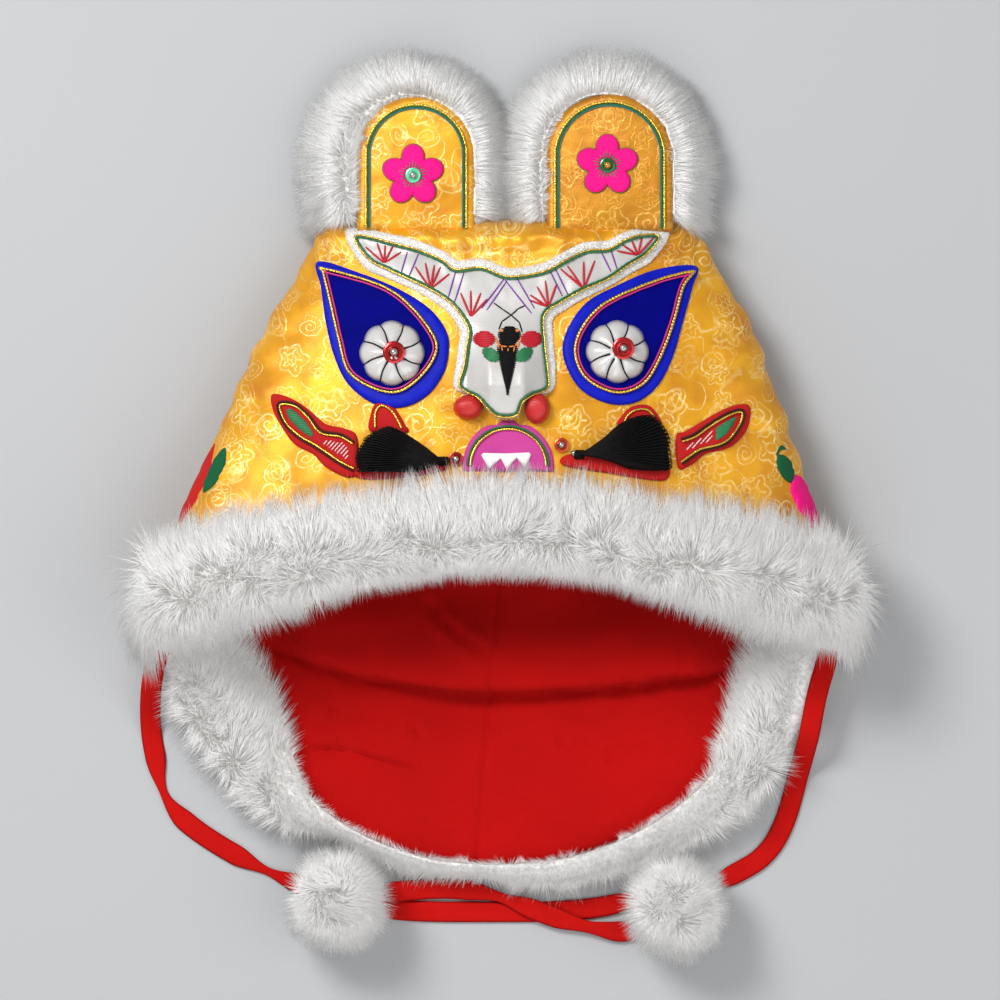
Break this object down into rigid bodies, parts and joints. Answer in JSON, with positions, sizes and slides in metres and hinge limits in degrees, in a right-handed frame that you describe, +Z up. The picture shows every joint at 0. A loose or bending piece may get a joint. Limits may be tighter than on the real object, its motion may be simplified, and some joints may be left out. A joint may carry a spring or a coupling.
{
  "type": "tiger hat",
  "caption": "Child's padded tiger hat in yellow brocade with fur trim, felt and cord tiger face, fur-backed ears, red lining, and red chin ties ending in fur pompoms.",
  "frame": {"origin": "middle of the hat's plan box, without the ties and pompoms, on the surface that it lies on", "axes": "+Y from the nape towards the ears, +X to the right as the face is seen, +Z up from the back of the hat through its face"},
  "size_m": [0.2712, 0.3264, 0.0672],
  "materials": {
    "brocade": "satin brocade, yellow with pale gold figures",
    "brocade_shade": "satin brocade, deeper yellow",
    "lining_cotton": "matt red cotton",
    "white_fur": "long white plush fur",
    "white_felt": "fluffy white felt",
    "white_satin": "white satin",
    "blue_satin": "royal blue satin",
    "gold_cord": "gold metallic couched cord",
    "green_cord": "green and gold twisted couched cord",
    "pink_felt": "magenta felt",
    "mouth_felt": "pink felt",
    "red_felt": "red felt",
    "red_silk": "red silk",
    "green_felt": "green felt",
    "black_thread": "black thread",
    "red_sequin": "metallised red sequin",
    "green_sequin": "metallised green sequin",
    "steel_bead": "small steel bead",
    "red_cotton": "matt red cotton tape"
  },
  "bodies": {
    "root": {"crown": "brocade", "lining": "lining_cotton", "brow_fur": "white_fur", "nape_fur": "white_fur", "ear_left": "brocade", "ear_right": "brocade_shade", "ear_fur_left": "white_fur", "ear_fur_right": "white_fur", "ear_cord_left": "green_cord", "ear_cord_right": "green_cord", "ear_flower_left": "pink_felt", "ear_flower_right": "pink_felt", "ear_sequin_left": "green_sequin", "ear_sequin_right": "green_sequin", "ear_bead_left": "steel_bead", "ear_bead_right": "steel_bead", "brow_felt": "white_felt", "brow_panel": "white_satin", "brow_cord": "green_cord", "eye_patch_left": "blue_satin", "eye_patch_right": "blue_satin", "eye_cord_left": "gold_cord", "eye_cord_right": "gold_cord", "eye_button_left": "white_satin", "eye_button_right": "white_satin", "eye_sequin_left": "red_sequin", "eye_sequin_right": "red_sequin", "eye_bead_left": "steel_bead", "eye_bead_right": "steel_bead", "nose_ball_left": "red_silk", "nose_ball_right": "red_silk", "mouth_patch": "mouth_felt", "mouth_cord": "green_cord", "teeth": "white_felt", "cheek_leaf_left": "red_felt", "cheek_leaf_right": "red_felt", "cheek_petal_left": "red_felt", "cheek_petal_right": "red_felt", "cheek_cord_left": "gold_cord", "cheek_cord_right": "gold_cord", "whisker_tuft_left": "black_thread", "whisker_tuft_right": "black_thread", "cheek_sequin_left": "red_sequin", "cheek_sequin_right": "red_sequin", "side_petal_left": "red_felt", "side_petal_right": "pink_felt", "side_leaf_left": "green_felt", "side_leaf_right": "green_felt", "tie_left": "red_cotton", "tie_right": "red_cotton", "pompom_left": "white_fur", "pompom_right": "white_fur"}
  },
  "joints": []
}
